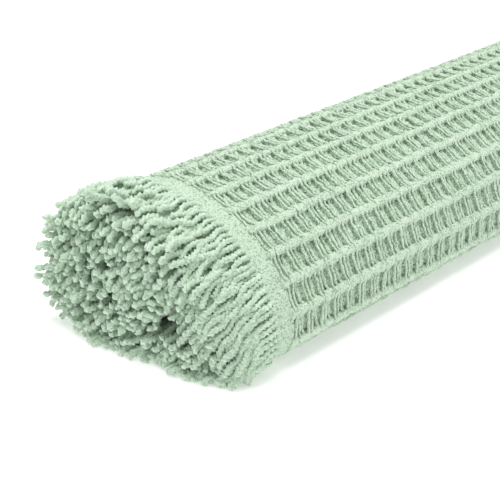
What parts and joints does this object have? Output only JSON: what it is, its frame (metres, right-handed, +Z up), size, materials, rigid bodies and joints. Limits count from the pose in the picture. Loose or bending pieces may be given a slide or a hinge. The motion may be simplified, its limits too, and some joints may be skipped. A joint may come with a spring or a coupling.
{
  "type": "bath mat",
  "caption": "Thick ribbed cotton bath mat with a twisted fringe at both short ends, rolled up across its width and lying on its side.",
  "frame": {"origin": "on the floor, under the middle of the roll", "axes": "+X along the roll, from the near fringe to the far fringe; +Y from the open front of the roll to its back; +Z up"},
  "size_m": [0.86, 0.1082, 0.0693],
  "materials": {
    "ground_cotton": "matt plain-woven sage green cotton",
    "rib_cotton": "matt tightly woven sage green cotton ribs",
    "float_yarn": "soft sage green cotton float yarns",
    "lock_yarn": "twined sage green cotton row",
    "fringe_yarn": "soft twisted sage green cotton strands"
  },
  "bodies": {
    "root": {"woven_field": "ground_cotton", "selvedge_outer": "ground_cotton", "selvedge_inner": "ground_cotton", "rib_01": "rib_cotton", "rib_02": "rib_cotton", "rib_03": "rib_cotton", "rib_04": "rib_cotton", "rib_05": "rib_cotton", "rib_06": "rib_cotton", "rib_07": "rib_cotton", "rib_08": "rib_cotton", "rib_09": "rib_cotton", "rib_10": "rib_cotton", "rib_11": "rib_cotton", "rib_12": "rib_cotton", "rib_13": "rib_cotton", "rib_14": "rib_cotton", "rib_15": "rib_cotton", "rib_16": "rib_cotton", "rib_17": "rib_cotton", "rib_18": "rib_cotton", "rib_19": "rib_cotton", "rib_20": "rib_cotton", "rib_21": "rib_cotton", "rib_22": "rib_cotton", "rib_23": "rib_cotton", "rib_24": "rib_cotton", "rib_25": "rib_cotton", "rib_26": "rib_cotton", "rib_27": "rib_cotton", "rib_28": "rib_cotton", "rib_29": "rib_cotton", "rib_30": "rib_cotton", "rib_31": "rib_cotton", "rib_32": "rib_cotton", "rib_33": "rib_cotton", "rib_34": "rib_cotton", "rib_35": "rib_cotton", "rib_36": "rib_cotton", "rib_37": "rib_cotton", "rib_38": "rib_cotton", "rib_39": "rib_cotton", "rib_40": "rib_cotton", "weft_floats_outer": "float_yarn", "weft_floats_middle": "float_yarn", "weft_floats_inner": "float_yarn", "header_band_near": "ground_cotton", "header_band_far": "ground_cotton", "lock_row_near": "lock_yarn", "lock_row_far": "lock_yarn", "fringe_near_outer": "fringe_yarn", "fringe_near_middle": "fringe_yarn", "fringe_near_inner": "fringe_yarn", "fringe_far_outer": "fringe_yarn", "fringe_far_middle": "fringe_yarn", "fringe_far_inner": "fringe_yarn"}
  },
  "joints": []
}
